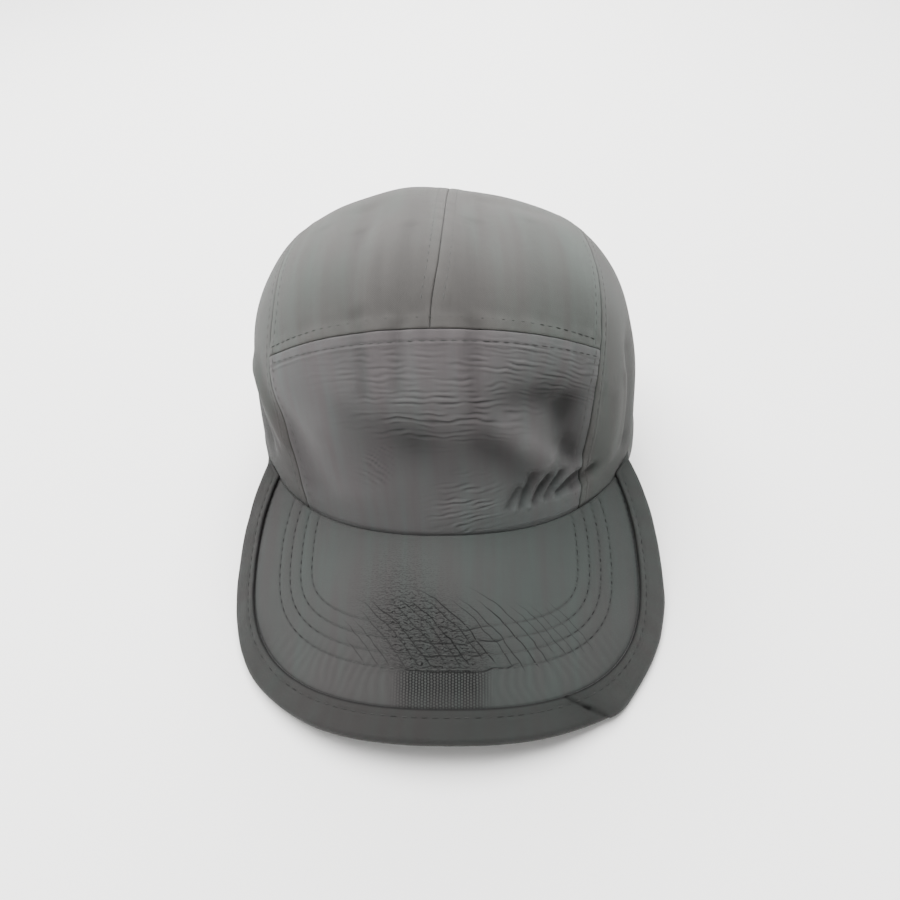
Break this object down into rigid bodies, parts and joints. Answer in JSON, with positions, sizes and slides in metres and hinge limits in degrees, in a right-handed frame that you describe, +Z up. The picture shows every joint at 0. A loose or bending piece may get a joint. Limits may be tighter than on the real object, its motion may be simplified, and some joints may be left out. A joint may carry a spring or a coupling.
{
  "type": "five panel cap",
  "caption": "Soft low crown of sewn cloth panels, open below for the head, with a sloping arched peak edged in folded cloth.",
  "frame": {"origin": "on the floor under the middle of the cap's box, as the cap rests on its back hem and on the sides of its peak", "axes": "+Z up, peak towards -Y, +X to the left of someone wearing the cap, which is to the right seen from in front"},
  "size_m": [0.1692, 0.267, 0.1315],
  "materials": {
    "front_cloth": "matt grey plain weave, finely rippled",
    "top_cloth": "matt grey plain weave, a little faded",
    "side_cloth": "matt grey plain weave",
    "peak_cloth": "matt dark grey plain weave over a stiff board, with rows of stitching",
    "binding_cloth": "matt dark grey plain weave, folded and stitched"
  },
  "bodies": {
    "root": {"front_panel": "front_cloth", "top_panel_left": "top_cloth", "top_panel_right": "top_cloth", "side_panel_left": "side_cloth", "side_panel_right": "side_cloth", "peak": "peak_cloth", "peak_binding": "binding_cloth"}
  },
  "joints": []
}
